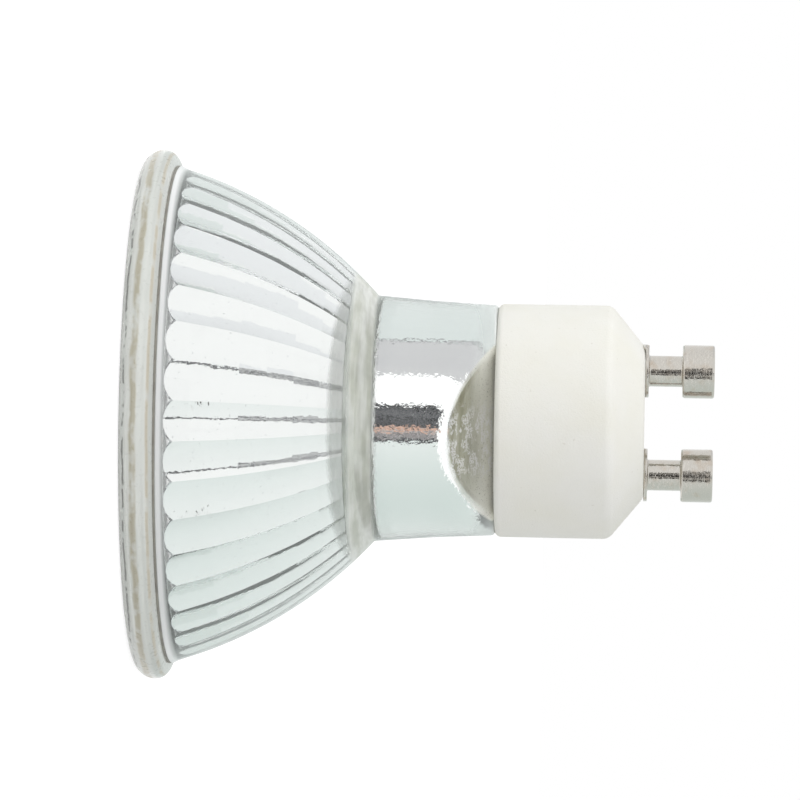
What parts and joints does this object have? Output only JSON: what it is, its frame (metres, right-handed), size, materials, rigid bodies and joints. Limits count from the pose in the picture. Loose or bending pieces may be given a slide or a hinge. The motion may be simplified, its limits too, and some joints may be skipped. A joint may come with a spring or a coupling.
{
  "type": "gu10 spotlight bulb",
  "caption": "Mains reflector bulb with a faceted glass bowl, clear front glass, mirrored neck, cream ceramic base and twist-lock contact pins.",
  "frame": {"origin": "centre of the front glass's face, on which the bulb stands", "axes": "+Z along the bulb's axis from the front glass to the pins; the pins stand side by side along X; the neck's flats face along Y"},
  "size_m": [0.05, 0.05, 0.054],
  "materials": {
    "clear_glass": "moulded clear glass",
    "sealant": "beige silicone sealant",
    "mirrored_glass": "pressed glass, facets coated with aluminium",
    "quartz": "clear quartz",
    "tungsten": "coiled tungsten wire",
    "molybdenum": "drawn wire",
    "neck_cement": "khaki lamp cement, matte",
    "base_cement": "lamp cement, matte",
    "cream_ceramic": "unglazed cream steatite, fine matte",
    "nickel": "bright nickel plate, worn at the foot",
    "splice_metal": "crimped nickel tube",
    "fuse_ceramic": "glazed fuse body",
    "copper_wire": "plated copper wire",
    "glass_sleeve": "woven glass fibre sleeve",
    "solder": "dull solder"
  },
  "bodies": {
    "root": {"cover_glass": "clear_glass", "cover_seal": "sealant", "reflector_glass": "mirrored_glass", "capsule_envelope": "quartz", "filament": "tungsten", "filament_support": "molybdenum", "neck_cement": "neck_cement", "base_cement": "base_cement", "ceramic_base": "cream_ceramic", "contact_pin_a": "nickel", "lead_splice": "splice_metal", "fuse_link": "fuse_ceramic", "feed_wire_a": "copper_wire", "wire_sleeve_a": "glass_sleeve", "pin_solder_a": "solder", "inner_lead_a": "molybdenum", "inner_lead_b": "molybdenum", "foil_a": "molybdenum", "foil_b": "molybdenum", "outer_lead_a": "molybdenum", "outer_lead_b": "molybdenum", "contact_pin_b": "nickel", "feed_wire_b": "copper_wire", "wire_sleeve_b": "glass_sleeve", "pin_solder_b": "solder"}
  },
  "joints": []
}
